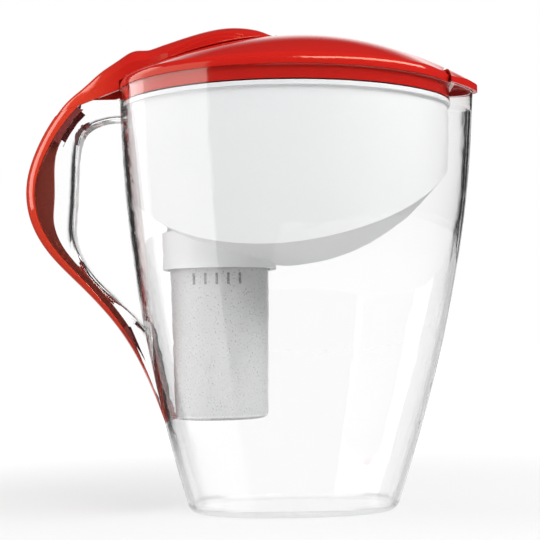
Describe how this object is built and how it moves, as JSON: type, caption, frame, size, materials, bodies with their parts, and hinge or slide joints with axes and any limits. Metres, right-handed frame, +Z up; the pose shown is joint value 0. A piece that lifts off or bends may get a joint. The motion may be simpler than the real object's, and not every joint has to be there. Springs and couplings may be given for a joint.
{
  "type": "water filter pitcher",
  "caption": "Clear oval pitcher with a spout and C-handle, a red lid with fill hatch and pour flap, and a white hopper that holds a filter cartridge.",
  "frame": {"origin": "middle of the jug's base, on the surface that it stands on", "axes": "+X to the spout, -X to the handle, +Y across, +Z up"},
  "size_m": [0.2481, 0.129, 0.262],
  "materials": {
    "clear_plastic": "clear, polished",
    "red_plastic": "opaque, polished",
    "white_plastic": "milky, satin",
    "filter_plastic": "translucent, satin",
    "seal_rubber": "soft, matte",
    "filter_mesh": "woven, matte",
    "filter_media": "granular, matte"
  },
  "bodies": {
    "jug": {"jug": "clear_plastic", "handle_cover": "red_plastic"},
    "hopper": {"hopper": "white_plastic"},
    "lid": {"lid": "red_plastic"},
    "fill_hatch": {"fill_hatch": "red_plastic"},
    "pour_flap": {"pour_flap": "red_plastic"},
    "cartridge": {"cartridge_shell": "filter_plastic", "cartridge_cap": "filter_plastic", "cartridge_seal": "seal_rubber", "cartridge_top_mesh": "filter_mesh", "cartridge_media": "filter_media", "cartridge_bottom_mesh": "filter_mesh"}
  },
  "joints": [
    {"name": "hopper_lift", "type": "slide", "parent": "jug", "child": "hopper", "axis": [0, 0, 1], "range_m": [0, 0.2]},
    {"name": "lid_lift", "type": "slide", "parent": "hopper", "child": "lid", "axis": [0, 0, 1], "range_m": [0, 0.1]},
    {"name": "cartridge_lift", "type": "slide", "parent": "hopper", "child": "cartridge", "axis": [0, 0, 1], "range_m": [0, 0.045]},
    {"name": "hatch_hinge", "type": "hinge", "parent": "lid", "child": "fill_hatch", "pos_m": [-0.0048, 0, 0.2543], "axis": [0, 1, 0], "range_deg": [0, 76]},
    {"name": "flap_hinge", "type": "hinge", "parent": "lid", "child": "pour_flap", "pos_m": [0.0875, 0, 0.2348], "axis": [0, -1, 0], "range_deg": [0, 70]}
  ]
}
